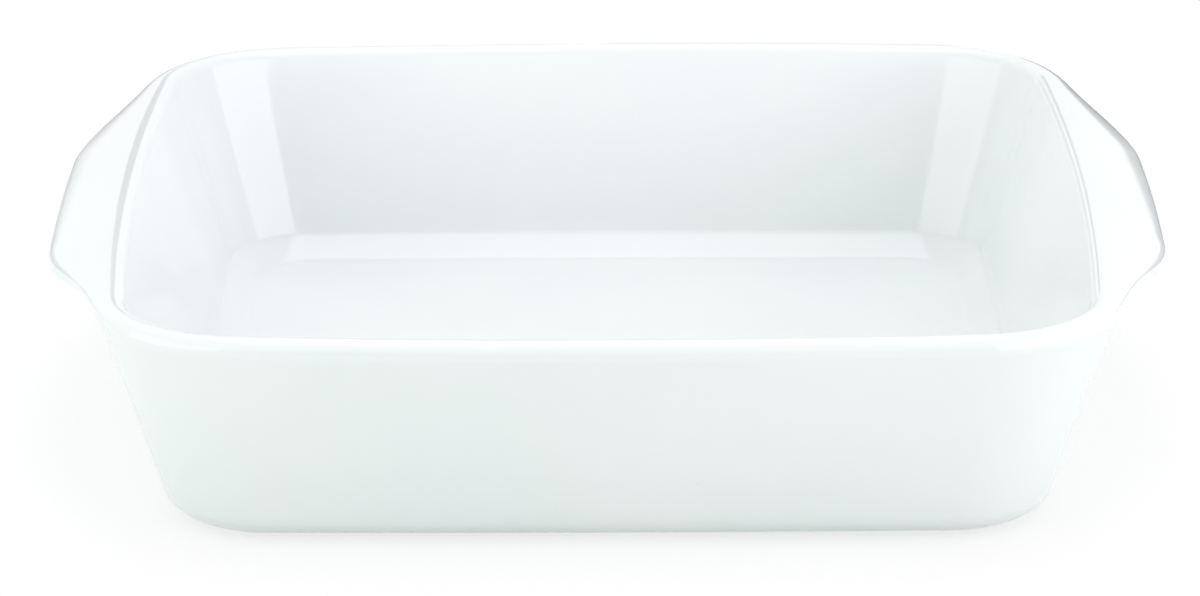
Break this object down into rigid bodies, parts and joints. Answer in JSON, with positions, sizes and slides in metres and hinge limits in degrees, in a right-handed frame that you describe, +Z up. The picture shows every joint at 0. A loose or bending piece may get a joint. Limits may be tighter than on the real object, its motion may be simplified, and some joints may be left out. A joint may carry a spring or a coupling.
{
  "type": "square baking dish",
  "caption": "Square white glazed ceramic baking dish with sloping walls, rounded corners and rim, and a flat lug handle on opposite sides, for baking and serving food.",
  "frame": {"origin": "on the table, under the middle of the dish", "axes": "+X across the dish towards the right handle, +Y towards the back, +Z up"},
  "size_m": [0.2666, 0.24, 0.055],
  "materials": {
    "white_glaze": "smooth glossy white glaze, faintly cool",
    "bare_biscuit": "bare fired clay, matt and fine grained"
  },
  "bodies": {
    "root": {"basin": "white_glaze", "left_handle": "white_glaze", "right_handle": "white_glaze", "foot_ring": "bare_biscuit"}
  },
  "joints": []
}
